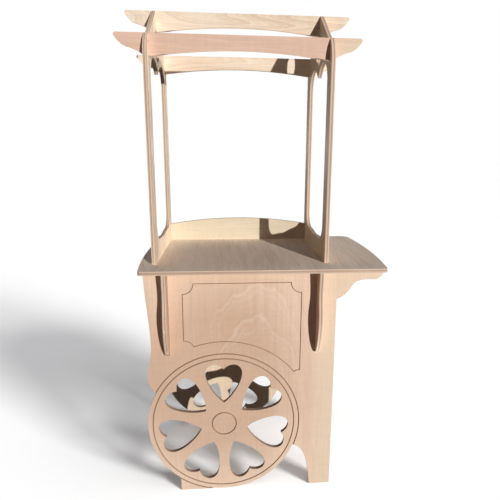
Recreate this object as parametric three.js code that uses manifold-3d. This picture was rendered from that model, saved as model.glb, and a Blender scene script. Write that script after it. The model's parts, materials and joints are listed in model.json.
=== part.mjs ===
// Vendor cart: a slot-together plywood market cart with a counter and an open roof frame.
// Millimetres. +X is to the customer's right, +Y runs from the customer to the seller, +Z is up.
import * as THREE from 'three';
import { mergeVertices } from 'three/addons/utils/BufferGeometryUtils.js';
import Module from 'manifold-3d';

const wasm = await Module();
wasm.setup();

// Sheet, fits and curve fineness
const ply = 15;
const fit = 0.3;
const overrun = 5;
const chordError = 0.25;
const samePlace = 0.001;
const roundShare = 0.55;

// Heights of the whole cart
const counterHeight = 933;
const ridgeHeight = 1850;
const roofRise = 120;

// Base box: front and back panels, and the counter over them
const baseDepth = 476;
const counterOverhang = 65;
const counterLeft = 381;
const counterRight = 546;
const leftEndSag = 19;
const rightEndSag = 20;
const frontCornerRadius = 10;
const backCornerRadius = 35;

// Outline of the front and back panels, across from the middle of the uprights
const panelHalfWidth = 358;
const waistInset = 19;
const waistShare = 0.384;
const bellyInset = 3;
const bellyShare = 0.136;
const notchRise = 141;
const footReach = 174;
const legWidth = 84;
const archHeight = 184;
const bracketReach = 175;
const bracketDrop = 119;

// Wheel that is cut and routed into the front and back panels
const wheelX = -70;
const rimRadius = 293;
const rimBand = 18;
const hubRadius = 47;
const heartCount = 7;
const hubMargin = 43;
const rimMargin = 43;
const spokeHalfWidth = 28;
const cleftDepth = 19;
const widestShare = 0.7625;
const lobeOffsetShare = 0.535;

// Routed lines and the routed frame above the wheel
const frameGrooveWidth = 3;
const wheelGrooveWidth = 4.5;
const grooveDepth = 4;
const frameLeft = -218;
const frameRight = 224;
const frameDrop = 51;
const frameRise = 52;
const frameCorner = 40;

// Side panels, which carry the counter and show outside as fins
const sideSpan = 565;
const sideShift = 5.5;
const sideDrop = 148;
const sideArchRise = 50;
const sideArchInset = 70;
const finLength = 330;
const finHook = 22;
const finTop = 57;
const finNeck = 50;
const finNeckDrop = 88;
const finBelly = 63;
const finBellyDrop = 183;

// Uprights, which stand on the counter and carry the roof beams
const uprightSpan = 637;
const uprightSetback = 25;
const uprightDepth = 482;
const postDepth = 62;
const sillHeight = 65;
const sillSag = 8;
const sillCornerLength = 63;
const sillCornerHeight = 68;
const shoulderLength = 80;
const gableSlopeShare = 0.688;
const lobeDrop = 62;
const lobeInset = 81;
const lobeSpring = 83;
const cuspDrop = 101;
const cuspHalfWidth = 4;
const cuspRound = 4;
const cuspRoundShare = 0.75;
const eyeHalfWidth = 51;
const eyeHalfHeight = 57;
const eyeDrop = 124;

// Roof beams, three of one outline
const beamSetback = 34;
const beamHalfLength = 425.5;
const beamTipDepth = 10;
const beamEndReach = 40;
const beamEndDepth = 44;
const beamRootDepth = 74;
const beamMiddleDepth = 50;

// Back board between the uprights
const boardSetback = 10;
const boardEndHeight = 74;
const boardRise = 27;
const tabHeight = 40;
const tabLift = 17;

// Tusk tenons under the uprights, and the wedges that lock them
const tenonLength = 80;
const tenonInset = 45;
const tuskDrop = 50;
const wedgeLength = 40;
const wedgeHeight = 20;
const wedgeTaper = 6;
const wedgeRelief = 2;

// Battens under the counter, and their screws
const battenSize = 20;
const screwLength = 30;
const screwRadius = 2;
const screwHeadRadius = 4;
const screwHeadDepth = 2.5;
const screwPointLength = 4;
const screwSides = 8;
const screwStagger = 25;
const longCounterScrews = 3;
const shortCounterScrews = 1;
const panelScrewsEach = 2;

// Places worked out from the sizes above
const counterUnder = counterHeight - ply;
const eaveHeight = ridgeHeight - roofRise;
const baseMiddle = baseDepth / 2;
const backPanelY = baseDepth - ply;
const sideLeftX = sideShift - sideSpan / 2 - ply / 2;
const sideRightX = sideShift + sideSpan / 2 - ply / 2;
const uprightLeftX = -uprightSpan / 2 - ply / 2;
const uprightRightX = uprightSpan / 2 - ply / 2;
const uprightMiddle = uprightSetback + uprightDepth / 2;
const boardY = uprightSetback + uprightDepth - boardSetback - ply;
const beamFrontY = uprightSetback + beamSetback;
const beamRidgeY = uprightMiddle - ply / 2;
const beamBackY = 2 * uprightMiddle - beamFrontY - ply;
const gableTop = ridgeHeight + gableSlopeShare * (ply / 2 + fit);
const gableFootY = beamFrontY + ply / 2;
const gableFoot = gableTop - gableSlopeShare * (uprightMiddle - gableFootY);
const tenonFrontY = uprightSetback + tenonInset;
const tenonBackY = baseDepth - tenonFrontY - tenonLength;
const finBottom = counterUnder - finLength;
const slotBottom = finBottom + finHook;

// Outline helpers: every outline is a list of points in the plane of its sheet
const at = (x, y) => new THREE.Vector2(x, y);
const mirrored = (points, middle) => points.map((p) => at(2 * middle - p.x, p.y)).reverse();

function between(start, end, [acrossShare, upShare]) {
  return at(start.x + (end.x - start.x) * acrossShare, start.y + (end.y - start.y) * upShare);
}

function arc(centre, radius, from, to) {
  const step = 2 * Math.acos(1 - chordError / radius);
  const count = Math.max(2, Math.ceil(Math.abs(to - from) / step));
  return Array.from({ length: count + 1 }, (_, i) => {
    const angle = from + ((to - from) * i) / count;
    return at(centre.x + radius * Math.cos(angle), centre.y + radius * Math.sin(angle));
  });
}

function bend(start, leave, arrive, end) {
  const legs = [leave.clone().sub(start), arrive.clone().sub(leave), end.clone().sub(arrive)];
  const turn = legs[0].angleTo(legs[1]) + legs[1].angleTo(legs[2]);
  const reach = legs.reduce((sum, leg) => sum + leg.length(), 0);
  const count = Math.max(2, Math.ceil(Math.sqrt((reach * turn) / (8 * chordError))));
  return new THREE.CubicBezierCurve(start, leave, arrive, end).getPoints(count);
}

// A bend whose two pull points are shares of the way from its start to its end
function sweep(start, end, [leaveShares, arriveShares]) {
  return bend(start, between(start, end, leaveShares), between(start, end, arriveShares), end);
}

// A round corner whose two ends lie on the lines that meet there
function rounded(start, corner, end) {
  const pulled = (point) => point.clone().lerp(corner, roundShare);
  return bend(start, pulled(start), pulled(end), end);
}

// A shallow arc that leaves the straight line between its ends by sag, to the right of the way it runs
const bowRadius = (half, sag) => (half ** 2 + sag ** 2) / (2 * sag);

function bow(start, end, sag) {
  const half = start.distanceTo(end) / 2;
  const radius = bowRadius(half, sag);
  const along = end.clone().sub(start).normalize();
  const outward = at(along.y, -along.x);
  const centre = start.clone().lerp(end, 0.5).addScaledVector(outward, sag - radius);
  const lean = Math.asin(half / radius);
  return arc(centre, radius, outward.angle() - lean, outward.angle() + lean);
}

function outline(...pieces) {
  const points = [];
  for (const point of pieces.flat()) {
    const last = points.at(-1);
    if (!last || last.distanceTo(point) > samePlace) points.push(point);
  }
  if (points[0].distanceTo(points.at(-1)) <= samePlace) points.pop();
  return points;
}

// Sheets: flat, standing across the cart, and standing along it
function extruded(points, thickness) {
  return new THREE.ExtrudeGeometry(new THREE.Shape(points), { depth: thickness, bevelEnabled: false });
}

const axes = (x, y, z) => new THREE.Matrix4().makeBasis(x, y, z);
const alongX = new THREE.Vector3(1, 0, 0);
const alongY = new THREE.Vector3(0, 1, 0);
const alongZ = new THREE.Vector3(0, 0, 1);
const acrossAxes = axes(alongX, alongZ, alongY.clone().negate());
const lengthwiseAxes = axes(alongY, alongZ, alongX);

const flatSheet = (points, bottom) => extruded(points, ply).translate(0, 0, bottom);

function acrossSheet(points, front, thickness = ply) {
  return extruded(points, thickness).applyMatrix4(acrossAxes).translate(0, front + thickness, 0);
}

function lengthwiseSheet(points, left, thickness = ply) {
  return extruded(points, thickness).applyMatrix4(lengthwiseAxes).translate(left, 0, 0);
}

function block(left, front, bottom, right, back, top) {
  const box = new THREE.BoxGeometry(right - left, back - front, top - bottom);
  return box.translate((left + right) / 2, (front + back) / 2, (bottom + top) / 2);
}

// Solids for cuts: shared corners merged, and triangles that closed up on an axis left out
function solid(geometry) {
  const bare = geometry.clone();
  bare.deleteAttribute('normal');
  bare.deleteAttribute('uv');
  const merged = mergeVertices(bare);
  const corners = merged.index.array;
  const triVerts = [];
  for (let i = 0; i < corners.length; i += 3) {
    const [a, b, c] = corners.slice(i, i + 3);
    if (a !== b && b !== c && c !== a) triVerts.push(a, b, c);
  }
  return new wasm.Manifold(
    new wasm.Mesh({
      numProp: 3,
      vertProperties: merged.attributes.position.array,
      triVerts: Uint32Array.from(triVerts),
    })
  );
}

function geometryOf(body) {
  const { vertProperties, triVerts } = body.getMesh();
  const geometry = new THREE.BufferGeometry();
  geometry.setAttribute('position', new THREE.BufferAttribute(vertProperties, 3));
  return geometry.setIndex(new THREE.BufferAttribute(triVerts, 1));
}

function cut(geometry, cutters) {
  return geometryOf(cutters.reduce((body, cutter) => body.subtract(solid(cutter)), solid(geometry)));
}

// Wheel: hearts point their tips at the hub
function heart(index) {
  const tip = at(hubRadius + hubMargin, 0);
  const lobeReach = rimRadius - rimMargin;
  const widestReach = tip.x + (lobeReach - tip.x) * widestShare;
  const spoke = Math.PI / heartCount;
  const halfWidth = (widestReach * Math.sin(spoke) - spokeHalfWidth) / Math.cos(spoke);
  const widest = at(widestReach, halfWidth);
  const lobe = at(lobeReach, halfWidth * lobeOffsetShare);
  const cleft = at(lobeReach - cleftDepth, 0);
  const flankShares = [[0.19, 0.47], [0.7, 1]];
  const shoulderShares = [[0.58, 0], [1, 0.39]];
  const cleftShares = [[0, 0.47], [0.53, 0.79]];
  const half = [
    sweep(tip, widest, flankShares),
    sweep(widest, lobe, shoulderShares),
    sweep(lobe, cleft, cleftShares),
  ].flat();
  const other = half.map((p) => at(p.x, -p.y)).reverse();
  const turn = Math.PI / 2 + (index * 2 * Math.PI) / heartCount;
  const hub = at(wheelX, rimRadius);
  return outline(half, other).map((p) => p.clone().rotateAround(at(0, 0), turn).add(hub));
}

const circle = (radius) => outline(arc(at(wheelX, rimRadius), radius, 0, 2 * Math.PI));

function oval(centre, halfWidth, halfHeight) {
  const round = outline(arc(at(0, 0), halfHeight, 0, 2 * Math.PI));
  return round.map((p) => at(centre.x + (p.x * halfWidth) / halfHeight, centre.y + p.y));
}

// Routed frame: hollow corners, and a bottom edge that follows the wheel
function frameLine(inset) {
  const hub = at(wheelX, rimRadius);
  const top = counterUnder - frameDrop;
  const bottomRadius = rimRadius + frameRise;
  const radius = frameCorner + inset;
  const spread = Math.asin(inset / radius);
  const onBottom = (x) => at(x, hub.y + Math.sqrt(bottomRadius ** 2 - (x - hub.x) ** 2));
  const [topLeft, topRight] = [at(frameLeft, top), at(frameRight, top)];
  const [lowLeft, lowRight] = [onBottom(frameLeft), onBottom(frameRight)];
  const meeting = (corner, side) => {
    const away = corner.clone().sub(hub);
    const reach = away.length();
    const lean = (radius ** 2 + reach ** 2 - (bottomRadius + inset) ** 2) / (2 * radius * reach);
    return away.negate().angle() + side * Math.acos(lean);
  };
  const turnLeft = meeting(lowLeft, 1);
  const turnRight = meeting(lowRight, -1);
  const pointOn = (corner, angle) => at(radius, 0).rotateAround(at(0, 0), angle).add(corner);
  const fromHub = (corner, angle) => pointOn(corner, angle).sub(hub).angle();
  return outline(
    arc(topLeft, radius, -spread, spread - Math.PI / 2),
    arc(lowLeft, radius, Math.PI / 2 - spread, turnLeft > Math.PI ? turnLeft - 2 * Math.PI : turnLeft),
    arc(hub, bottomRadius + inset, fromHub(lowLeft, turnLeft), fromHub(lowRight, turnRight)),
    arc(lowRight, radius, turnRight, Math.PI / 2 + spread),
    arc(topRight, radius, Math.PI * 1.5 - spread, Math.PI + spread)
  );
}

function panelOutline() {
  const hub = at(wheelX, rimRadius);
  const leftTop = at(-panelHalfWidth, counterUnder);
  const notch = at(hub.x - Math.sqrt(rimRadius ** 2 - notchRise ** 2), hub.y + notchRise);
  const sideHeight = leftTop.y - notch.y;
  const waist = at(leftTop.x + waistInset, notch.y + sideHeight * waistShare);
  const belly = at(leftTop.x + bellyInset, notch.y + sideHeight * bellyShare);
  const footX = hub.x - footReach;
  const footTop = at(footX, hub.y - Math.sqrt(rimRadius ** 2 - footReach ** 2));
  const archStart = at(hub.x + Math.sqrt(rimRadius ** 2 - (hub.y - archHeight) ** 2), archHeight);
  const archEnd = at(panelHalfWidth - legWidth, 0);
  const root = at(panelHalfWidth, counterUnder - bracketDrop);
  const lipTop = at(panelHalfWidth + bracketReach, counterUnder);
  const onBracket = (shares) => between(root, lipTop, shares);
  const turnPointShares = [0.32, 0.42];
  const shelfStartShares = [0.655, 0.632];
  const shelfEndShares = [0.8, 0.626];
  const lipEndShares = [1, 0.846];
  const angleOf = (point) => point.clone().sub(hub).angle();
  const waistShares = [[0.1, 0.33], [1, 0.66]];
  const bellyShares = [[0, 0.3], [1, 0.67]];
  const notchShares = [[0, 0.58], [0.46, 0.82]];
  const archShares = [[0.58, 0.02], [0.89, 0.35]];
  const risingShares = [[0.36, 0.08], [0.8, 0.51]];
  const easingShares = [[0.19, 0.72], [0.54, 1]];
  const lipShares = [[0.5, 0], [0.85, 0.42]];
  const [turnPoint, shelfStart] = [onBracket(turnPointShares), onBracket(shelfStartShares)];
  const [shelfEnd, lip] = [onBracket(shelfEndShares), onBracket(lipEndShares)];
  return outline(
    sweep(leftTop, waist, waistShares),
    sweep(waist, belly, bellyShares),
    sweep(belly, notch, notchShares),
    arc(hub, rimRadius, angleOf(notch), angleOf(footTop)),
    [at(footX, 0), at(hub.x, 0)],
    arc(hub, rimRadius, Math.PI * 1.5, angleOf(archStart)),
    sweep(archStart, archEnd, archShares),
    [at(panelHalfWidth, 0), root],
    sweep(root, turnPoint, risingShares),
    sweep(turnPoint, shelfStart, easingShares),
    sweep(shelfEnd, lip, lipShares),
    [lipTop]
  );
}

// A routed line is a cutter that enters the sheet from its outer face
function grooves(front, outward) {
  const depth = grooveDepth + overrun;
  const start = outward < 0 ? front - overrun : front + ply - grooveDepth;
  const frameHalf = frameGrooveWidth / 2;
  const wheelHalf = wheelGrooveWidth / 2;
  const lines = [
    [frameLine(-frameHalf), frameLine(frameHalf)],
    [circle(rimRadius + wheelGrooveWidth), circle(rimRadius)],
    [circle(rimRadius - rimBand + wheelHalf), circle(rimRadius - rimBand - wheelHalf)],
    [circle(hubRadius + wheelHalf), circle(hubRadius - wheelHalf)],
  ];
  return lines.map(([outer, inner]) =>
    cut(acrossSheet(outer, start, depth), [acrossSheet(inner, start, depth)])
  );
}

function endPanel(front, outward) {
  const hearts = Array.from({ length: heartCount }, (_, i) =>
    acrossSheet(heart(i), front - overrun, ply + 2 * overrun)
  );
  const slots = [sideLeftX, sideRightX].map((left) =>
    block(left - fit, front - overrun, slotBottom, left + ply + fit, front + ply + overrun, counterHeight)
  );
  return cut(acrossSheet(panelOutline(), front), [...hearts, ...slots, ...grooves(front, outward)]);
}

function sidePanel(left) {
  const top = counterUnder - fit;
  const innerFront = ply + fit;
  const topFront = at(-finTop, top);
  const neck = at(-finNeck, counterUnder - finNeckDrop);
  const belly = at(-finBelly, counterUnder - finBellyDrop);
  const tip = at(-fit, finBottom);
  const sideBottom = finBottom - sideDrop;
  const archStart = at(innerFront + sideArchInset, sideBottom);
  const archTop = at(baseMiddle, sideBottom + sideArchRise);
  const neckShares = [[0, 0.35], [1, 0.6]];
  const bellyShares = [[0, 0.4], [1, 0.5]];
  const taperShares = [[0, 0.45], [0.5, 1]];
  const archShares = [[0.3, 0.9], [0.6, 1]];
  const half = outline(
    sweep(topFront, neck, neckShares),
    sweep(neck, belly, bellyShares),
    sweep(belly, tip, taperShares),
    [at(-fit, slotBottom + fit), at(innerFront, slotBottom + fit), at(innerFront, sideBottom), archStart],
    sweep(archStart, archTop, archShares)
  );
  return lengthwiseSheet(outline(half, mirrored(half, baseMiddle)), left);
}

// End of the counter: a shallow bow between a tight front corner and a wide back corner
function counterEnd(reach, sag) {
  const [front, back] = [-counterOverhang, baseDepth + counterOverhang];
  const radius = bowRadius((back - front) / 2, sag);
  const leanAt = (y) => Math.asin((y - baseMiddle) / radius);
  const onEnd = (y) => at(reach + radius * (Math.cos(leanAt(y)) - 1), y);
  const [frontSharp, backSharp] = [onEnd(front), onEnd(back)];
  const [low, high] = [front + frontCornerRadius, back - backCornerRadius];
  return outline(
    rounded(at(frontSharp.x - frontCornerRadius, front), frontSharp, onEnd(low)),
    arc(at(reach - radius, baseMiddle), radius, leanAt(low), leanAt(high)),
    rounded(onEnd(high), backSharp, at(backSharp.x - backCornerRadius, back))
  );
}

function counterTop() {
  const rightEnd = counterEnd(counterRight, rightEndSag);
  const leftEnd = mirrored(counterEnd(counterLeft, leftEndSag), 0);
  const [low, high] = [counterUnder - overrun, counterHeight + overrun];
  const mortises = [uprightLeftX, uprightRightX].flatMap((left) =>
    [tenonFrontY, tenonBackY].map((y) =>
      block(left - fit, y - fit, low, left + ply + fit, y + tenonLength + fit, high)
    )
  );
  return cut(flatSheet(outline(rightEnd, leftEnd), counterUnder), [...mortises, ...counterScrews(fit)]);
}

// Uprights: posts, sill, two lobes with a cusp between them, and a gable with an oval eye
function uprightWindow() {
  const sill = counterHeight + sillHeight;
  const inner = uprightSetback + postDepth;
  const sillMiddle = at(uprightMiddle, sill);
  const sillEnd = at(inner + sillCornerLength, sill + sillSag);
  const cornerTop = at(inner, sill + sillSag + sillCornerHeight);
  const lobeTop = eaveHeight - lobeDrop;
  const cuspTop = eaveHeight - cuspDrop;
  const lobeStart = at(inner, lobeTop - lobeSpring);
  const lobe = at(inner + lobeInset, lobeTop);
  const cusp = at(uprightMiddle - cuspHalfWidth, cuspTop);
  const sillShares = [[0.34, 0.5], [0.68, 1]];
  const cornerShares = [[0.7, 0.04], [1, 0.5]];
  const lobeShares = [[0, 0.54], [0.41, 1]];
  const cuspShares = [[0.48, 0], [0.72, 0.46]];
  const half = [
    sweep(sillMiddle, sillEnd, sillShares).slice(0, -1),
    sweep(sillEnd, cornerTop, cornerShares),
    sweep(lobeStart, lobe, lobeShares),
    sweep(lobe, cusp, cuspShares),
    [at(uprightMiddle - cuspHalfWidth / 2, cuspTop - cuspRound * cuspRoundShare)],
    [at(uprightMiddle, cuspTop - cuspRound)],
  ].flat();
  return outline(half, mirrored(half, uprightMiddle));
}

// The gable's slopes start in the slots of the eave beams and are flush with the ridge beam
function uprightOutline() {
  const bottom = counterHeight + fit;
  const tuskBottom = counterUnder - tuskDrop;
  const shoulder = at(uprightSetback, eaveHeight - shoulderLength);
  const eave = at(beamFrontY, eaveHeight);
  const shoulderShares = [[0, 0.4], [0.35, 0.75]];
  const tenon = (front) => [
    at(front + tenonLength, bottom),
    at(front + tenonLength, tuskBottom),
    at(front, tuskBottom),
    at(front, bottom),
  ];
  const half = outline(
    [at(uprightSetback, bottom)],
    sweep(shoulder, eave, shoulderShares),
    [at(gableFootY, eaveHeight), at(gableFootY, gableFoot), at(uprightMiddle, gableTop)]
  );
  return outline(half, mirrored(half, uprightMiddle), tenon(tenonBackY), tenon(tenonFrontY));
}

const wedgeHeightAt = (outwardX) => wedgeHeight + (wedgeTaper * outwardX) / wedgeLength;

function upright(left) {
  const eye = oval(at(uprightMiddle, ridgeHeight - eyeDrop), eyeHalfWidth, eyeHalfHeight);
  const [clearLeft, clearRight] = [left - overrun, left + ply + overrun];
  const halving = beamRootDepth / 2;
  const beamSlots = [
    [beamFrontY, eaveHeight],
    [beamRidgeY, ridgeHeight],
    [beamBackY, eaveHeight],
  ].map(([y, top]) =>
    block(clearLeft, y - fit, top - halving - fit, clearRight, y + ply + fit, gableTop + overrun)
  );
  const tabBottom = counterHeight + tabLift;
  const tabSlot = block(
    clearLeft, boardY - fit, tabBottom - fit, clearRight, boardY + ply + fit, tabBottom + tabHeight + fit
  );
  const wedgeSlots = [tenonFrontY, tenonBackY].map((y) => {
    const middle = y + tenonLength / 2;
    const low = counterUnder - 2 * fit - wedgeHeightAt(ply / 2);
    const [front, back] = [middle - ply / 2 - fit, middle + ply / 2 + fit];
    return block(clearLeft, front, low, clearRight, back, counterUnder + wedgeRelief);
  });
  const through = ply + 2 * overrun;
  const holes = [uprightWindow(), eye].map((points) => lengthwiseSheet(points, clearLeft, through));
  return cut(lengthwiseSheet(uprightOutline(), left), [...holes, ...beamSlots, tabSlot, ...wedgeSlots]);
}

function roofBeam(front, top) {
  const tip = at(beamHalfLength, -beamTipDepth);
  const end = at(beamHalfLength - beamEndReach, -beamEndDepth);
  const root = at(uprightSpan / 2 + ply / 2, -beamRootDepth);
  const inner = at(uprightSpan / 2 - ply / 2, -beamRootDepth);
  const middle = at(0, -beamMiddleDepth);
  const tipShares = [[0.24, 0.43], [0.54, 0.86]];
  const endShares = [[0.32, 0.14], [0.7, 0.43]];
  const archShares = [[0.33, 0.62], [0.66, 1]];
  const half = outline(
    [at(beamHalfLength - beamTipDepth / 2, 0), at(beamHalfLength, -beamTipDepth / 2)],
    sweep(tip, end, tipShares),
    sweep(end, root, endShares),
    sweep(inner, middle, archShares)
  );
  const points = outline(half, mirrored(half, 0)).map((p) => at(p.x, p.y + top));
  const [slotLow, slotHigh] = [top - beamRootDepth - overrun, top - beamRootDepth / 2];
  const slots = [uprightLeftX, uprightRightX].map((left) =>
    block(left - fit, front - overrun, slotLow, left + ply + fit, front + ply + overrun, slotHigh)
  );
  return cut(acrossSheet(points, front), slots);
}

function backBoard() {
  const [left, right] = [uprightLeftX + ply + fit, uprightRightX - fit];
  const bottom = counterHeight + fit;
  const shoulderHeight = counterHeight + boardEndHeight;
  const tabBottom = counterHeight + tabLift;
  const tabTop = tabBottom + tabHeight;
  const points = outline(
    [at(left, bottom), at(right, bottom), at(right, tabBottom), at(uprightRightX + ply, tabBottom)],
    [at(uprightRightX + ply, tabTop), at(right, tabTop)],
    bow(at(right, shoulderHeight), at(left, shoulderHeight), boardRise),
    [at(left, tabTop), at(uprightLeftX, tabTop), at(uprightLeftX, tabBottom), at(left, tabBottom)]
  );
  return acrossSheet(points, boardY);
}

// Wedge: its thick end points away from the middle of the cart
function wedge(uprightX, tenonY, outward) {
  const middle = uprightX + ply / 2;
  const top = counterUnder - fit;
  const half = wedgeLength / 2;
  const points = [
    at(middle - outward * half, top),
    at(middle + outward * half, top),
    at(middle + outward * half, top - wedgeHeightAt(half)),
    at(middle - outward * half, top - wedgeHeightAt(-half)),
  ];
  return acrossSheet(points, tenonY + (tenonLength - ply) / 2);
}

// Battens: two run across the cart and two run between them along the side panels
const battenTop = counterUnder - fit;
const battenLeft = sideLeftX + ply + fit;
const battenRight = sideRightX - fit;
const battenFront = ply + fit;
const battenBack = backPanelY - fit;
const shortFront = battenFront + battenSize + fit;
const shortBack = battenBack - battenSize - fit;

// A screw points along +Z with its head at zero; grow makes the hole that clears it
function screw(grow) {
  const profile = [
    at(0, -grow),
    at(screwHeadRadius + grow, -grow),
    at(screwHeadRadius + grow, grow),
    at(screwRadius + grow, screwHeadDepth + grow),
    at(screwRadius + grow, screwLength - screwPointLength),
    at(0, screwLength + grow),
  ];
  return new THREE.LatheGeometry(profile, screwSides).rotateX(Math.PI / 2);
}

function spaced(from, to, count) {
  return Array.from({ length: count }, (_, i) => from + ((to - from) * (2 * i + 1)) / (2 * count));
}

// Screws up through the battens into the counter
function counterScrews(grow) {
  const half = battenSize / 2;
  const low = battenTop - battenSize;
  const places = [
    ...spaced(battenLeft, battenRight, longCounterScrews).flatMap((x) => [
      [x, battenFront + half],
      [x, battenBack - half],
    ]),
    ...spaced(shortFront, shortBack, shortCounterScrews).flatMap((y) => [
      [battenLeft + half, y],
      [battenRight - half, y],
    ]),
  ];
  return places.map(([x, y]) => screw(grow).translate(x, y, low));
}

// Screws sideways through the battens into the panels
function panelScrews(grow) {
  const height = battenTop - battenSize / 2;
  const quarter = Math.PI / 2;
  const turned = (angle, x, y) => screw(grow).rotateX(quarter).rotateZ(angle).translate(x, y, height);
  const long = spaced(battenLeft, battenRight, panelScrewsEach).map((x) => x + screwStagger);
  const short = spaced(shortFront, shortBack, panelScrewsEach).map((y) => y + screwStagger);
  return [
    ...long.map((x) => turned(0, x, battenFront + battenSize)),
    ...long.map((x) => turned(2 * quarter, x, battenBack - battenSize)),
    ...short.map((y) => turned(-quarter, battenLeft + battenSize, y)),
    ...short.map((y) => turned(quarter, battenRight - battenSize, y)),
  ];
}

function longBatten(front) {
  const bar = block(battenLeft, front, battenTop - battenSize, battenRight, front + battenSize, battenTop);
  return cut(bar, [...counterScrews(fit), ...panelScrews(fit)]);
}

function shortBatten(left) {
  const bar = block(left, shortFront, battenTop - battenSize, left + battenSize, shortBack, battenTop);
  return cut(bar, [...counterScrews(fit), ...panelScrews(fit)]);
}

// Finishes
const pinkBirch = { color: '#d8b596', roughness: 0.62, metalness: 0 };
const creamBirch = { color: '#e6cfa6', roughness: 0.62, metalness: 0 };
const counterBirch = { color: '#b39b84', roughness: 0.55, metalness: 0 };
const batten = { color: '#dfc49a', roughness: 0.7, metalness: 0 };
const zinc = { color: '#b8b9ba', roughness: 0.35, metalness: 1 };

const cart = new THREE.Group();
cart.position.set(-(counterRight - beamHalfLength) / 2, -baseMiddle, 0);

function add(name, geometry, finish) {
  const piece = new THREE.Mesh(geometry, new THREE.MeshStandardMaterial(finish));
  piece.name = name;
  cart.add(piece);
}

const withPanelHoles = (geometry) => cut(geometry, panelScrews(fit));

add('front_panel', withPanelHoles(endPanel(0, -1)), pinkBirch);
add('back_panel', withPanelHoles(endPanel(backPanelY, 1)), creamBirch);
add('side_panel_left', withPanelHoles(sidePanel(sideLeftX)), pinkBirch);
add('side_panel_right', withPanelHoles(sidePanel(sideRightX)), pinkBirch);
add('counter_top', counterTop(), counterBirch);
add('upright_left', upright(uprightLeftX), pinkBirch);
add('upright_right', upright(uprightRightX), pinkBirch);
add('back_board', backBoard(), creamBirch);
add('roof_beam_front', roofBeam(beamFrontY, eaveHeight), pinkBirch);
add('roof_beam_ridge', roofBeam(beamRidgeY, ridgeHeight), creamBirch);
add('roof_beam_back', roofBeam(beamBackY, eaveHeight), creamBirch);
add('wedge_left_front', wedge(uprightLeftX, tenonFrontY, -1), pinkBirch);
add('wedge_left_back', wedge(uprightLeftX, tenonBackY, -1), pinkBirch);
add('wedge_right_front', wedge(uprightRightX, tenonFrontY, 1), pinkBirch);
add('wedge_right_back', wedge(uprightRightX, tenonBackY, 1), pinkBirch);
add('batten_front', longBatten(battenFront), batten);
add('batten_back', longBatten(battenBack - battenSize), batten);
add('batten_left', shortBatten(battenLeft), batten);
add('batten_right', shortBatten(battenRight - battenSize), batten);
counterScrews(0).forEach((body, i) => add(`counter_screw_${i + 1}`, body, zinc));
panelScrews(0).forEach((body, i) => add(`panel_screw_${i + 1}`, body, zinc));

export default cart;
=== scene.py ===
import json
import math

import bpy
from mathutils import Matrix, Vector

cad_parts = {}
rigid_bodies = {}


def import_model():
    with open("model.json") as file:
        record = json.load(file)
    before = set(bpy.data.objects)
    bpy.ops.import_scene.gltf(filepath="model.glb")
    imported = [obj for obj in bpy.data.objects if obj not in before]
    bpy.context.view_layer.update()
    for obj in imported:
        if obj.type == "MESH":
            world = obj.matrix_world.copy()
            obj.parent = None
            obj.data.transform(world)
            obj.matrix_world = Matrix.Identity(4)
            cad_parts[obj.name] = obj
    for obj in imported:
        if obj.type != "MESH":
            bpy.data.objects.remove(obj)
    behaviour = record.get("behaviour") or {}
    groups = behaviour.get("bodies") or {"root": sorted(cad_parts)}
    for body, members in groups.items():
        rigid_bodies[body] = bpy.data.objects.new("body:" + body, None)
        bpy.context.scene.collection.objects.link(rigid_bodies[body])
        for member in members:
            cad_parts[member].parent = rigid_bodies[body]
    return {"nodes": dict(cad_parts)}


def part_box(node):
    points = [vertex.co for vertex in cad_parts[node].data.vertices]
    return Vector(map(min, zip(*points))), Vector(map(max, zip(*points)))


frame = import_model()
nodes = frame["nodes"]

# Start file: whatever it holds goes, so that only the cart is measured
for leftover in list(bpy.data.objects):
    if leftover.type in {"CAMERA", "LIGHT"}:
        bpy.data.objects.remove(leftover)
    elif leftover.type == "MESH" and leftover.name not in nodes:
        bpy.data.objects.remove(leftover)
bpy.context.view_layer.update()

# Camera: the photograph's eye point, lens and frame
LENS_PIXELS = 452.41
PICTURE_PIXELS = 500
SENSOR_WIDTH = 36
CENTRE_RIGHT_PIXELS = 16.67
CENTRE_UP_PIXELS = 6.70
EYE = Vector((-0.10381, -1.83721, 1.36099))
EYE_YAW = -0.083974
EYE_PITCH = -0.211683
EYE_ROLL = -0.009159

camera_data = bpy.data.cameras.new("photo_camera")
camera_data.sensor_width = SENSOR_WIDTH
camera_data.lens = LENS_PIXELS / PICTURE_PIXELS * SENSOR_WIDTH
camera_data.shift_x = -CENTRE_RIGHT_PIXELS / PICTURE_PIXELS
camera_data.shift_y = -CENTRE_UP_PIXELS / PICTURE_PIXELS
camera = bpy.data.objects.new("photo_camera", camera_data)
level_camera = Matrix.Rotation(math.pi / 2, 4, "X")
turned = Matrix.Rotation(EYE_YAW, 4, "Z") @ Matrix.Rotation(EYE_PITCH, 4, "X")
turned = turned @ Matrix.Rotation(EYE_ROLL, 4, "Y") @ level_camera
camera.matrix_world = Matrix.Translation(EYE) @ turned
bpy.context.scene.collection.objects.link(camera)
bpy.context.scene.camera = camera


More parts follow.
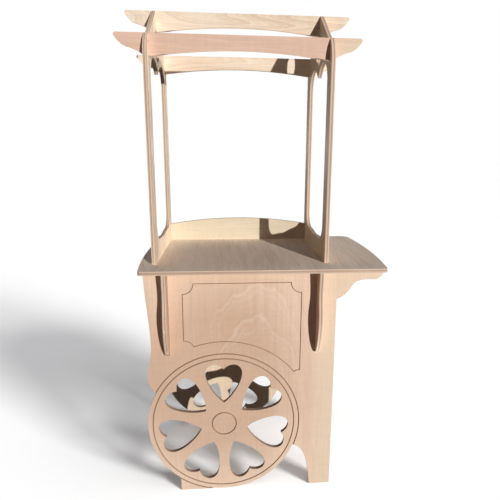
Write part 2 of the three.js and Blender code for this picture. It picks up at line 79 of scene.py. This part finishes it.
# Node helpers: a net is one tree of shader nodes
class Net:
    def __init__(self, tree):
        self.tree = tree
        self.tree.nodes.clear()

    def node(self, kind, inputs=None, **settings):
        made = self.tree.nodes.new("ShaderNode" + kind)
        for key, value in settings.items():
            setattr(made, key, value)
        for key, value in (inputs or {}).items():
            self.feed(made.inputs[key], value)
        return made

    def feed(self, socket, value):
        if isinstance(value, bpy.types.NodeSocket):
            self.tree.links.new(value, socket)
        else:
            socket.default_value = value

    def math(self, operation, *values, clamp=False):
        sockets = dict(enumerate(values))
        return self.node("Math", sockets, operation=operation, use_clamp=clamp).outputs[0]

    def sum(self, *values):
        total = values[0]
        for value in values[1:]:
            total = self.math("ADD", total, value)
        return total

    def less(self, first, second):
        return self.math("SUBTRACT", first, second)

    def product(self, *values):
        total = values[0]
        for value in values[1:]:
            total = self.math("MULTIPLY", total, value)
        return total

    def square(self, value):
        return self.math("POWER", value, 2.0)

    def size(self, value):
        return self.math("ABSOLUTE", value)

    def join(self, x, y, z=0.0):
        return self.node("CombineXYZ", {0: x, 1: y, 2: z}).outputs[0]

    def scale(self, vector, factor):
        return self.node("VectorMath", {0: vector, 3: factor}, operation="SCALE").outputs[0]

    def noise(self, vector, detail=2.0, roughness=0.5):
        inputs = {"Vector": vector, "Scale": 1.0, "Detail": detail, "Roughness": roughness}
        return self.node("TexNoise", inputs).outputs[0]

    def ramp(self, value, low, high, to_low=0.0, to_high=1.0, soft=False):
        inputs = {"Value": value, "From Min": low, "From Max": high, "To Min": to_low, "To Max": to_high}
        step = "SMOOTHSTEP" if soft else "LINEAR"
        return self.node("MapRange", inputs, interpolation_type=step, clamp=True).outputs[0]

    def swing(self, value, band, most):
        """From -most to +most as the value crosses the band."""
        return self.ramp(value, *band, -most, most)

    def mix(self, factor, first, second, blend="MIX"):
        inputs = {0: factor, 6: first, 7: second}
        return self.node("Mix", inputs, data_type="RGBA", blend_type=blend).outputs[2]

    def shade(self, colour, value):
        grey = self.node("CombineColor", {0: value, 1: value, 2: value}).outputs[0]
        return self.mix(1.0, colour, grey, "MULTIPLY")

    def surface(self, colour, rough, relief, height, constants):
        """The shader, with what is the same all over the surface set on its own sockets."""
        strength, distance = height
        bump = self.node("Bump", {"Strength": strength, "Distance": distance, "Height": relief})
        inputs = {"Base Color": colour, "Roughness": rough, "Normal": bump.outputs[0], **constants}
        shader = self.node("BsdfPrincipled", inputs)
        self.node("OutputMaterial", {"Surface": shader.outputs[0]})

    def seen_directly(self):
        """1 for the rays that show the background itself: the camera's, gloss and glass."""
        path = self.node("LightPath").outputs
        direct = self.math("MAXIMUM", path["Is Camera Ray"], path["Is Glossy Ray"])
        return self.math("MAXIMUM", direct, path["Is Transmission Ray"])


def new_net(name):
    material = bpy.data.materials.new(name)
    material.use_nodes = True
    return material, Net(material.node_tree)


def tone(code):
    """The linear colour of a six-figure sRGB code."""
    shares = [int(code[i:i + 2], 16) / 255 for i in (0, 2, 4)]
    linear = [s / 12.92 if s <= 0.04045 else ((s + 0.055) / 1.055) ** 2.4 for s in shares]
    return (*linear, 1.0)


# Noise: how finely it is broken up, and the bands in which it counts, from nothing to in full
RICH = 3.0
FIGURE_DETAIL = 1.5
ARCH_DETAIL = 2.5
FLECK_DETAIL = 1.0
OPEN_GRAIN = 0.6
NOISE_MEAN = 0.5
WIDE = (0.25, 0.75)
MIDDLE = (0.3, 0.7)
ALL = (0.0, 1.0)
STREAK_BAND = (0.5, 0.72)
FIGURE_BAND = (0.35, 0.6)
RUB_BAND = (0.42, 0.62)
SMUDGE_RIM = (0.2, 1.3)
FLECK_BAND = (0.73, 0.79)

# Plywood: eleven thin birch plies, glued with their grain crossed in turn
X, Y, Z = 0, 1, 2
PLY = 0.015
LAYERS = 11
GLUE_SHARE = 0.12
GLUE_MOST = 0.5
FACE_MIN_SLOPE = 0.7
GROOVE_START = 0.0006
SEED_SHIFT = 3.71
SEED_STEP = 17.0

# Plywood spacings: how many features a metre holds across the grain, and along it
FIBRE_SPACING = (900.0, 14.0)
STRAND_SPACING = (260.0, 5.0)
SHIMMER_SPACING = (16.0, 70.0)
TONE_SPACING = (5.0, 1.3)
WAVE_SPACING = (3.2, 1.6)
FLECK_SPACING = (420.0, 60.0)
FIGURE_SPACING = (7.0, 0.9)
STREAK_SPACING = (48.0, 1.2)
ARCH_WOBBLE_SPACING = (16.0, 7.0)
SMUDGE_SPACING = (38.0, 4.0)
PORE_SPACING = 1500.0
EDGE_STREAK_SPACING = 40.0
EDGE_STAIN_SPACING = 3.0
STREAKS_PER_LAYER = 1.7

# Plywood face: how far its grain sways, and how strongly each feature shows
SWAY = 0.035
TONE_DRIFT = 0.3
PATCH_DRIFT = 0.35
PATCH_ROSE = 0.9
FINE = 0.055
COARSE = 0.07
MOTTLE = 0.03
LATE_SHARE = 2.4
LATE_LIFT = 0.4
FLECK_MOST = 0.5

# Plywood figure: growth lines as shares of the step from one to the next, and where arches fade
HALF_STEP = 0.5
LINE_AFTER = 0.09
LINE_BEFORE = 0.94
RISE_START = 0.05
MINOR_LINES = 4.0
MINOR_SHARE = 0.45
PAIR_PLACE = 0.24
PAIR_WIDTH = 0.06
PAIR_MOST = 0.45
FIGURE_LEAST = 0.35
ARCH_LEAST = 0.7
ARCH_TURN = 0.03
ARCH_WOBBLE = 1.1
ARCH_START = 20.0
ARCH_SIDES = (0.12, 0.20, 1.0, 0.15)
ARCH_FOOT = (0.20, 0.34, 1.0, 0.25)

# Plywood edge: how unlike its plies are, and its long brown stripes
OWN_TONE = 0.10
EDGE_GRAIN = 0.08
STRIPE_DRIFT = (-0.5, 0.3)
STRIPE_BAND = (-0.6, 0.9)
STRIPE_MOST = 0.8

# Plywood surface: fibres stand up a little, and shine less where they are open
FACE_ROUGH = (0.50, 0.62)
EDGE_ROUGHER = 0.12
GROOVE_SHADES = (0.85, 1.15)
FIBRE_RELIEF = 0.5
STRAND_RELIEF = 0.8
PORE_RELIEF = 0.3
PLYWOOD_RELIEF = (0.25, 0.0004)

# Plywood tones
PINK = tone("d3b197")
CREAM = tone("e9d3b6")
LIGHT_LINE = tone("f6e6d2")
LATE = tone("c59d78")
FLECK = tone("a17a5e")
SMUDGE = tone("8f7a6a")
# GROOVE: the routed lines' floor, darker than the face: partly the cut wood's own tone, partly painted shade
# of the narrow recess
GROOVE = tone("a27c60")
LONG_PLY = tone("f2dfc8")
END_PLY = tone("cfae94")
PLY_STAIN = tone("b08b74")
GLUE = tone("8f6a58")
BOARD = tone("dccdb2")
PANEL_PALE = tone("eed1b7")
# Counter top: paler and greyer than the other sheets, partly its own tone, partly painted light that makes
# up for the low light grazing the top
COUNTER_PALE_LIGHTENED = tone("efdfcb")
COUNTER_ROSE_LIGHTENED = tone("dbc4b1")
# Side panels: darker than the other sheets, as painted shade for the fins' shaded faces
SIDE_PALE_SHADED = tone("dcbfa3")
SIDE_ROSE_SHADED = tone("c4a086")
UPRIGHT_PALE = tone("efddc5")
BEAM_ROSE = tone("e3bea8")
BEAM_CREAM = tone("f4e2cb")

# Plywood looks: each sheet's thickness axis, the axis of its face grain, and what it has of its own
PLAIN = {
    "pale": CREAM,
    "rose": PINK,
    "rosy": 0.5,
    "streaky": 0.35,
    "patch": None,
    "creamy": None,
    "smudge": None,
    "arches": None,
    "lines": 9.0,
    "light": 0.15,
    "dark": 0.05,
    "depth": 1.0,
    "gloss": 0.15,
    "stripes": (1.6, 0.0),
    "edge_tone_and_shade": 1.0,
}
# The side panels' darker tones are painted shade for the fins' shaded faces
SIDE = {"through": X, "along": Z, "rosy": 0.6, "pale": SIDE_PALE_SHADED, "rose": SIDE_ROSE_SHADED}
WEDGE = {"through": Y, "along": X}
HIGH_BEAM = {
    "through": Y,
    "along": X,
    "rosy": 0.0,
    "pale": BEAM_CREAM,
    "lines": 24.0,
    "light": 0.06,
    "streaky": 0.3,
}
SHEETS = {
    "front_panel": {
        "through": Y,
        "along": Z,
        "rosy": 0.35,
        "pale": PANEL_PALE,
        "streaky": 0.2,
        "patch": {"centre": -0.17, "middle": 0.47, "half": 0.32, "tall": 0.36, "soft": 0.45},
        "creamy": (0.20, 0.27, 0.55),
        "arches": {"centre": 0.015, "top": 0.872, "step": 0.145, "left_bend": 5.2, "right_bend": 11.0},
        "light": 0.23,
        "dark": 0.06,
        "depth": 0.7,
    },
    "back_panel": {"through": Y, "along": Z, "rosy": 0.15, "lines": 16.0},
    "side_panel_left": SIDE,
    "side_panel_right": SIDE,
    "counter_top": {
        "through": Z,
        "along": Y,
        "rosy": 0.3,
        # The counter's paler tones hold painted light for its grazed top, besides their own tone
        "pale": COUNTER_PALE_LIGHTENED,
        "rose": COUNTER_ROSE_LIGHTENED,
        "streaky": 0.6,
        "patch": {"centre": -0.10, "middle": -0.08, "half": 0.28, "tall": 0.22, "soft": 0.5},
        "smudge": {"centre": 0.0, "middle": -0.06, "half": 0.16, "tall": 0.24, "most": 0.2},
        "lines": 14.0,
        "light": 0.1,
        "dark": 0.09,
        "depth": 1.5,
        "stripes": (1.0, 0.5),
        # The counter's edges: darker, partly their own brown tone, partly painted shade that offsets the
        # counter lamp's extra light on the front edge
        "edge_tone_and_shade": 0.48,
    },
    "upright_left": {"through": X, "along": Z, "rosy": 0.10, "pale": UPRIGHT_PALE, "stripes": (1.6, 1.0)},
    "upright_right": {"through": X, "along": Z, "rosy": 0.25},
    "back_board": {"through": Y, "along": X, "rosy": 0.0, "pale": BOARD, "lines": 16.0, "streaky": 0.1},
    "roof_beam_front": {
        "through": Y,
        "along": X,
        "rosy": 0.85,
        "rose": BEAM_ROSE,
        "patch": {"centre": 1.73, "middle": -0.20, "half": 0.30, "tall": 0.47, "soft": 0.05},
        "light": 0.06,
        "depth": 1.3,
    },
    "roof_beam_ridge": {**HIGH_BEAM, "dark": 0.14},
    "roof_beam_back": {**HIGH_BEAM, "dark": 0.12},
    "wedge_left_front": WEDGE,
    "wedge_left_back": WEDGE,
    "wedge_right_front": WEDGE,
    "wedge_right_back": WEDGE,
}


class Sheet:
    """A sheet's own places in its net: u across the face grain, v along it, w up from its lower face."""

    def __init__(self, net, look, low, seed):
        through, along = look["through"], look["along"]
        across = ({X, Y, Z} - {through, along}).pop()
        place = net.node("TexCoord").outputs
        point = net.node("SeparateXYZ", {0: place["Object"]}).outputs
        slope = net.node("SeparateXYZ", {0: place["Normal"]}).outputs
        self.net = net
        self.look = look
        self.seed = seed
        self.shift = seed * SEED_SHIFT
        self.point = place["Object"]
        self.u = point[across]
        self.v = point[along]
        self.w = net.less(point[through], low)
        self.slope_along = slope[along]
        self.slope_through = slope[through]
        sway = net.less(self.field(WAVE_SPACING, straight=True), NOISE_MEAN)
        self.wander = net.sum(self.u, net.product(sway, SWAY))
        self.broad = self.field(TONE_SPACING, RICH)
        self.fibres = self.field(FIBRE_SPACING, roughness=OPEN_GRAIN)
        self.strands = self.field(STRAND_SPACING, RICH, OPEN_GRAIN)
        self.pores = net.noise(net.scale(self.point, PORE_SPACING))

    def field(self, spacing, detail=2.0, roughness=0.5, straight=False):
        """A noise drawn out along the grain, which sways with it unless it is straight."""
        side = self.u if straight else self.wander
        across = self.net.product(side, spacing[0])
        along = self.net.product(self.v, spacing[1])
        return self.net.noise(self.net.join(across, along, self.shift), detail, roughness)

    def oval(self, across, centre, middle, half, tall):
        """The squared distance from an oval's middle, where 1 is its rim."""
        side = self.net.math("DIVIDE", self.net.less(across, centre), half)
        rise = self.net.math("DIVIDE", self.net.less(self.v, middle), tall)
        return self.net.sum(self.net.square(side), self.net.square(rise))


def face_tone(sheet):
    """A slow drift from pale to rosy, with rosier streaks, and a rosy patch or a creamy side on some."""
    net, look = sheet.net, sheet.look
    warmth = net.ramp(sheet.broad, *MIDDLE, look["rosy"] - TONE_DRIFT, look["rosy"] + TONE_DRIFT)
    streaks = net.ramp(sheet.field(STREAK_SPACING), *STREAK_BAND, 0.0, look["streaky"], soft=True)
    if look["patch"]:
        place = dict(look["patch"])
        soft = place.pop("soft")
        reach = net.math("SQRT", sheet.oval(sheet.wander, **place))
        inside = net.ramp(reach, 1.0 - soft, 1.0 + soft, 1.0, 0.0, soft=True)
        warmth = net.sum(net.product(warmth, PATCH_DRIFT), net.product(inside, PATCH_ROSE))
    face = net.mix(net.math("ADD", warmth, streaks, clamp=True), look["pale"], look["rose"])
    if look["creamy"]:
        first, last, most = look["creamy"]
        face = net.mix(net.ramp(sheet.wander, first, last, 0.0, most, soft=True), face, CREAM)
    return face


def figure_lines(sheet):
    """Growth figure: a light line at each step of a contour map, and darker wood between the lines."""
    net, look = sheet.net, sheet.look
    if look["arches"]:
        arches = look["arches"]
        away = net.less(sheet.wander, arches["centre"])
        bend = net.ramp(away, -ARCH_TURN, ARCH_TURN, arches["left_bend"], arches["right_bend"], soft=True)
        bent = net.less(net.less(arches["top"], sheet.v), net.product(net.square(away), bend))
        wobble = net.less(sheet.field(ARCH_WOBBLE_SPACING, ARCH_DETAIL, straight=True), NOISE_MEAN)
        figure = net.sum(net.product(bent, 1 / arches["step"]), net.product(wobble, ARCH_WOBBLE), ARCH_START)
        beside = net.ramp(net.size(away), *ARCH_SIDES, soft=True)
        below = net.ramp(bent, *ARCH_FOOT, soft=True)
        fading = net.product(net.ramp(sheet.broad, *FIGURE_BAND, ARCH_LEAST, 1.0), beside, below)
    else:
        figure = net.product(sheet.field(FIGURE_SPACING, FIGURE_DETAIL), look["lines"])
        fading = net.ramp(sheet.broad, *FIGURE_BAND, FIGURE_LEAST, 1.0)
    ring = net.math("FRACT", figure)
    after = net.ramp(ring, 0.0, LINE_AFTER, 1.0, 0.0)
    light_line = net.math("MAXIMUM", after, net.ramp(ring, LINE_BEFORE, 1.0))
    if look["arches"]:
        pair = net.ramp(net.size(net.less(ring, PAIR_PLACE)), 0.0, PAIR_WIDTH, PAIR_MOST, 0.0, soft=True)
        light_line = net.math("MAXIMUM", light_line, pair)
    minor = net.math("FRACT", net.product(figure, MINOR_LINES))
    from_middle = net.size(net.less(minor, HALF_STEP))
    minor_line = net.ramp(from_middle, 0.0, HALF_STEP, 1.0, 0.0, soft=True)
    rise = net.product(net.ramp(ring, RISE_START, LINE_BEFORE), look["dark"])
    dark = net.sum(rise, net.product(minor_line, MINOR_SHARE * look["dark"]))
    return net.product(dark, fading), net.product(light_line, fading, look["light"])


def face_colour(sheet):
    """The face veneer: its tone, its figure, fibres, shimmer across the grain, rubbing and flecks."""
    net, look = sheet.net, sheet.look
    dark, light_line = figure_lines(sheet)
    shimmer = sheet.field(SHIMMER_SPACING, roughness=OPEN_GRAIN, straight=True)
    fine = net.swing(sheet.fibres, WIDE, FINE * look["depth"])
    coarse = net.swing(sheet.strands, WIDE, COARSE * look["depth"])
    mottle = net.swing(shimmer, WIDE, MOTTLE)
    face = net.mix(net.math("MULTIPLY", dark, LATE_SHARE, clamp=True), face_tone(sheet), LATE)
    face = net.shade(face, net.sum(1.0 + LATE_LIFT * look["dark"], fine, coarse, mottle))
    face = net.mix(light_line, face, LIGHT_LINE)
    if look["smudge"]:
        place = dict(look["smudge"])
        most = place.pop("most")
        within = net.ramp(sheet.oval(sheet.u, **place), *SMUDGE_RIM, 1.0, 0.0, soft=True)
        rubbed = net.ramp(sheet.field(SMUDGE_SPACING, RICH), *RUB_BAND, 0.0, most, soft=True)
        face = net.mix(net.product(within, rubbed), face, SMUDGE)
    flecks = net.ramp(sheet.field(FLECK_SPACING, FLECK_DETAIL), *FLECK_BAND)
    return net.mix(net.product(flecks, FLECK_MOST), face, FLECK)


def edge_colour(sheet):
    """The plies: they turn long or end grain outward by the way the edge runs, each of its own tone."""
    net, look = sheet.net, sheet.look
    lengthwise = net.sum(sheet.v, sheet.u)
    layer = net.product(sheet.w, LAYERS / PLY)
    within = net.math("FRACT", layer)
    count = net.math("FLOOR", layer)
    odd = net.math("MODULO", count, 2.0)
    unlike = net.size(net.less(odd, net.square(net.size(sheet.slope_along))))
    own_seed = {"W": net.sum(count, sheet.seed * SEED_STEP)}
    own = net.node("TexWhiteNoise", own_seed, noise_dimensions="1D").outputs[0]
    streak_place = net.join(
        net.product(lengthwise, EDGE_STREAK_SPACING),
        net.product(layer, STREAKS_PER_LAYER),
        sheet.shift,
    )
    cycles, first = look["stripes"]
    turn = net.less(net.math("DIVIDE", sheet.w, PLY), first)
    stripe = net.math("COSINE", net.product(turn, 2 * math.pi * cycles))
    drift = net.noise(net.join(net.product(lengthwise, EDGE_STAIN_SPACING), sheet.shift))
    stripe = net.sum(stripe, net.ramp(drift, *MIDDLE, *STRIPE_DRIFT))
    stained = net.ramp(stripe, *STRIPE_BAND, 0.0, STRIPE_MOST, soft=True)
    edge = net.mix(stained, net.mix(unlike, LONG_PLY, END_PLY), PLY_STAIN)
    graining = net.sum(
        1.0,
        net.swing(own, ALL, OWN_TONE),
        net.swing(sheet.pores, MIDDLE, EDGE_GRAIN),
        net.swing(net.noise(streak_place), MIDDLE, EDGE_GRAIN),
    )
    seam = net.math("MINIMUM", within, net.less(1.0, within))
    glued = net.ramp(seam, 0.0, GLUE_SHARE, GLUE_MOST, 0.0)
    # The whole edge darkened; on the counter this is partly painted shade against its lamp's extra light
    return net.shade(net.mix(glued, net.shade(edge, graining), GLUE), look["edge_tone_and_shade"])


def plywood(name, look, low, seed):
    """Birch plywood: the veneer on the faces, plies on the edges, and in the routed lines a darker tone,
    partly cut wood and partly painted shade.
    """
    material, net = new_net(name)
    sheet = Sheet(net, look, low, seed)
    lying = net.math("GREATER_THAN", net.size(sheet.slope_through), FACE_MIN_SLOPE)
    from_top = net.size(net.less(PLY, sheet.w))
    below_face = net.math("MINIMUM", net.size(sheet.w), from_top)
    routed = net.product(lying, net.math("GREATER_THAN", below_face, GROOVE_START))
    # The routed lines' floors take the darker groove tone: partly the cut wood, partly painted shade of the
    # recess
    routed_floor = net.shade(GROOVE, net.ramp(sheet.pores, *MIDDLE, *GROOVE_SHADES))
    colour = net.mix(lying, edge_colour(sheet), face_colour(sheet))
    colour = net.mix(routed, colour, routed_floor)
    rough_edge = net.product(net.less(1.0, lying), EDGE_ROUGHER)
    rough = net.sum(net.ramp(sheet.strands, *MIDDLE, *FACE_ROUGH), rough_edge)
    relief = net.sum(
        net.product(sheet.fibres, FIBRE_RELIEF),
        net.product(sheet.strands, STRAND_RELIEF),
        net.product(sheet.pores, PORE_RELIEF),
    )
    net.surface(colour, rough, relief, PLYWOOD_RELIEF, {"Specular IOR Level": look["gloss"]})
    return material


# Pine: growth rings that run along the bar and show as bands on its ends
PINE_EARLY = tone("e6cd9f")
PINE_LATE = tone("c39a63")
PINE_DRIFT_SPACING = (8.0, 2.0)
PINE_RING_SPACING = (190.0, 120.0)
PINE_FIBRE_SPACING = (700.0, 12.0)
PINE_SWAY = 3.0
PINE_LATE_BAND = (0.55, 0.95)
PINE_SHADES = (0.90, 1.08)
PINE_ROUGH = (0.58, 0.72)
PINE_FIBRE_RELIEF = 0.6
PINE_RING_RELIEF = 0.5
PINE_RELIEF = (0.3, 0.0004)
PINE_GLOSS = 0.15


def solid_pine(name, along, seed):
    material, net = new_net(name)
    point = net.node("SeparateXYZ", {0: net.node("TexCoord").outputs["Object"]}).outputs
    first, second = sorted({X, Y, Z} - {along})
    u, h, v = point[first], point[second], point[along]
    drift_across, drift_along = PINE_DRIFT_SPACING
    ring_across, ring_up = PINE_RING_SPACING
    fibre_across, fibre_along = PINE_FIBRE_SPACING
    drift = net.noise(net.join(net.product(u, drift_across), net.product(v, drift_along), seed))
    depth = net.sum(net.product(u, ring_across), net.product(h, ring_up), net.product(drift, PINE_SWAY))
    late = net.ramp(net.math("FRACT", depth), *PINE_LATE_BAND, soft=True)
    lines = net.join(net.product(u, fibre_across), net.product(v, fibre_along), net.product(h, fibre_across))
    fibres = net.noise(lines, RICH, OPEN_GRAIN)
    colour = net.shade(net.mix(late, PINE_EARLY, PINE_LATE), net.ramp(fibres, *WIDE, *PINE_SHADES))
    rough = net.ramp(fibres, *MIDDLE, *PINE_ROUGH)
    relief = net.sum(net.product(fibres, PINE_FIBRE_RELIEF), net.product(late, PINE_RING_RELIEF))
    net.surface(colour, rough, relief, PINE_RELIEF, {"Specular IOR Level": PINE_GLOSS})
    return material


# Zinc-plated steel: a cool grey with faint clouding, and scuffs that take its shine
ZINC_LIGHT = tone("b9bcc0")
ZINC_DARK = tone("9fa4a3")
CLOUD_SPACING = 420.0
SCUFF_SPACING = 2600.0
ZINC_ROUGH = (0.28, 0.42)
ZINC_RELIEF = (0.2, 0.0001)


def zinc_plate(name):
    material, net = new_net(name)
    place = net.node("TexCoord").outputs["Object"]
    clouds = net.noise(net.scale(place, CLOUD_SPACING), RICH)
    scuffs = net.noise(net.scale(place, SCUFF_SPACING))
    rough = net.ramp(scuffs, *MIDDLE, *ZINC_ROUGH)
    net.surface(net.mix(clouds, ZINC_LIGHT, ZINC_DARK), rough, scuffs, ZINC_RELIEF, {"Metallic": 1.0})
    return material


# Edges: corners joined, curved edges smooth, sharp corners kept, and all of them just broken
JOIN_DISTANCE = 0.00001
SHARP_ANGLE = math.radians(28)
BROKEN_EDGE = 0.0004
BROKEN_STEPS = 2


def joined_group():
    group = bpy.data.node_groups.new("joined_corners", "GeometryNodeTree")
    group.interface.new_socket("Geometry", in_out="INPUT", socket_type="NodeSocketGeometry")
    group.interface.new_socket("Geometry", in_out="OUTPUT", socket_type="NodeSocketGeometry")
    start = group.nodes.new("NodeGroupInput")
    end = group.nodes.new("NodeGroupOutput")
    merge = group.nodes.new("GeometryNodeMergeByDistance")
    merge.inputs["Distance"].default_value = JOIN_DISTANCE
    plain = group.nodes.new("GeometryNodeRemoveAttribute")
    plain.inputs["Name"].default_value = "custom_normal"
    smooth = group.nodes.new("GeometryNodeSetShadeSmooth")
    smooth.domain = "FACE"
    smooth.inputs["Shade Smooth"].default_value = True
    creased = group.nodes.new("GeometryNodeSetShadeSmooth")
    creased.domain = "EDGE"
    creased.inputs["Shade Smooth"].default_value = False
    angle = group.nodes.new("GeometryNodeInputMeshEdgeAngle")
    wide = group.nodes.new("FunctionNodeCompare")
    wide.operation = "GREATER_THAN"
    wide.inputs[1].default_value = SHARP_ANGLE
    links = group.links
    links.new(angle.outputs["Unsigned Angle"], wide.inputs[0])
    links.new(start.outputs[0], plain.inputs["Geometry"])
    links.new(plain.outputs[0], merge.inputs["Geometry"])
    links.new(merge.outputs[0], smooth.inputs["Geometry"])
    links.new(smooth.outputs[0], creased.inputs["Geometry"])
    links.new(wide.outputs[0], creased.inputs["Selection"])
    links.new(creased.outputs[0], end.inputs[0])
    return group


def break_edges(node, group):
    join = node.modifiers.new("joined_corners", "NODES")
    join.node_group = group
    bevel = node.modifiers.new("broken_edges", "BEVEL")
    bevel.width = BROKEN_EDGE
    bevel.segments = BROKEN_STEPS
    bevel.limit_method = "ANGLE"
    bevel.angle_limit = SHARP_ANGLE
    bevel.harden_normals = True


# Materials: plywood for the sheets and wedges, pine for the battens, zinc for the screws
joined = joined_group()
zinc = zinc_plate("zinc_plate")
for seed, (name, node) in enumerate(sorted(nodes.items())):
    low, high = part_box(name)
    if name in SHEETS:
        look = {**PLAIN, **SHEETS[name]}
        material = plywood(name + "_birch", look, low[look["through"]], seed)
    elif name.startswith("batten"):
        size = [high[i] - low[i] for i in (X, Y, Z)]
        material = solid_pine(name + "_pine", size.index(max(size)), seed)
    else:
        material = zinc
    for slot in node.material_slots:
        slot.material = material
    break_edges(node, joined)

# Floor: plain and pale; what is seen of it is lighter than the light that it gives back
WHITE = (1.0, 1.0, 1.0, 1.0)
FLOOR_SIZE = 60.0
FLOOR_COLOUR = (0.06, 0.06, 0.06, 1.0)
FLOOR_SEEN = (0.98, 0.975, 0.965, 1.0)
FLOOR_GLOW = 0.10

bpy.ops.mesh.primitive_plane_add(size=FLOOR_SIZE, location=(0, 0, 0))
floor = bpy.context.active_object
floor.name = "studio_floor"
floor_material, net = new_net("studio_floor")
given = net.node("BsdfDiffuse", {"Color": FLOOR_COLOUR})
pale = net.node("BsdfDiffuse", {"Color": FLOOR_SEEN})
glow = net.node("Emission", {"Color": WHITE, "Strength": FLOOR_GLOW})
shown = net.node("AddShader", {0: pale.outputs[0], 1: glow.outputs[0]})
both = net.node("MixShader", {0: net.seen_directly(), 1: given.outputs[0], 2: shown.outputs[0]})
net.node("OutputMaterial", {"Surface": both.outputs[0]})
floor.data.materials.append(floor_material)

# World: a weak even light on the cart, and plain white where it is seen directly
WORLD_LIGHT = 0.020
WORLD_TINT = (0.75, 1.00, 1.80, 1.0)

world = bpy.data.worlds.new("studio_world")
bpy.context.scene.world = world
world.use_nodes = True
net = Net(world.node_tree)
weak = net.node("Background", {"Color": WORLD_TINT, "Strength": WORLD_LIGHT})
white = net.node("Background", {"Color": WHITE, "Strength": 1.0})
both = net.node("MixShader", {0: net.seen_directly(), 1: weak.outputs[0], 2: white.outputs[0]})
net.node("OutputWorld", {"Surface": both.outputs[0]})

# Lamps: a low key, more of it for the counter, weak ones for the far sides, two for the floor's shadow
SUN = math.pi
KEY_HEADING = (-0.47, 1.0, -0.160)
KEY_ANGLE = 0.8
LAMPS = {
    "key": {"heading": KEY_HEADING, "strength": 1.00, "angle": KEY_ANGLE, "lights": "cart"},
    "counter": {"heading": KEY_HEADING, "strength": 1.08, "angle": KEY_ANGLE, "lights": "counter"},
    "right": {"heading": (-1.0, 0.0, -0.35), "strength": 0.42, "angle": 8, "lights": "sides"},
    "left": {"heading": (1.0, 0.0, -0.20), "strength": 0.23, "angle": 6, "lights": "left"},
    "behind": {"heading": (0.0, -1.0, 0.0), "strength": 0.50, "angle": 4, "lights": "cart"},
    "below": {"heading": (0.0, 0.0, 1.0), "strength": 0.90, "angle": 2, "lights": "cart"},
    "ground": {"heading": (-0.82, 0.73, -0.50), "strength": 1.24, "angle": 15, "lights": "floor"},
    "ground_top": {"heading": (-0.35, 0.35, -1.0), "strength": 0.46, "angle": 60, "lights": "floor"},
}
counter = nodes["counter_top"]
left_faces = [nodes["upright_left"], nodes["side_panel_left"]]
RECEIVERS = {
    "cart": ([floor], "EXCLUDE"),
    "sides": ([floor, counter], "EXCLUDE"),
    "left": (left_faces, "INCLUDE"),
    "counter": ([counter], "INCLUDE"),
    "floor": ([floor], "INCLUDE"),
}


def linked(name, things, state):
    """A set of things that a lamp takes in alone, or leaves out."""
    made = bpy.data.collections.new(name)
    for index, thing in enumerate(things):
        made.objects.link(thing)
        made.collection_objects[index].light_linking.link_state = state
    return made


lit = {name: linked(name + "_receivers", *facts) for name, facts in RECEIVERS.items()}
open_below = linked("open_below", [floor, counter], "EXCLUDE")


def lamp(name, heading, strength, angle, lights):
    """A lamp like the sun; neither the floor nor the counter blocks one that shines upward."""
    data = bpy.data.lights.new(name + "_light", "SUN")
    data.energy = strength * SUN
    data.angle = math.radians(angle)
    made = bpy.data.objects.new(name + "_light", data)
    made.location = -Vector(heading)
    made.rotation_euler = Vector(heading).to_track_quat("-Z", "Y").to_euler()
    made.light_linking.receiver_collection = lit[lights]
    if heading[Z] > 0:
        made.light_linking.blocker_collection = open_below
    bpy.context.scene.collection.objects.link(made)


for name, facts in LAMPS.items():
    lamp(name, **facts)

bpy.context.scene.view_settings.view_transform = "Standard"
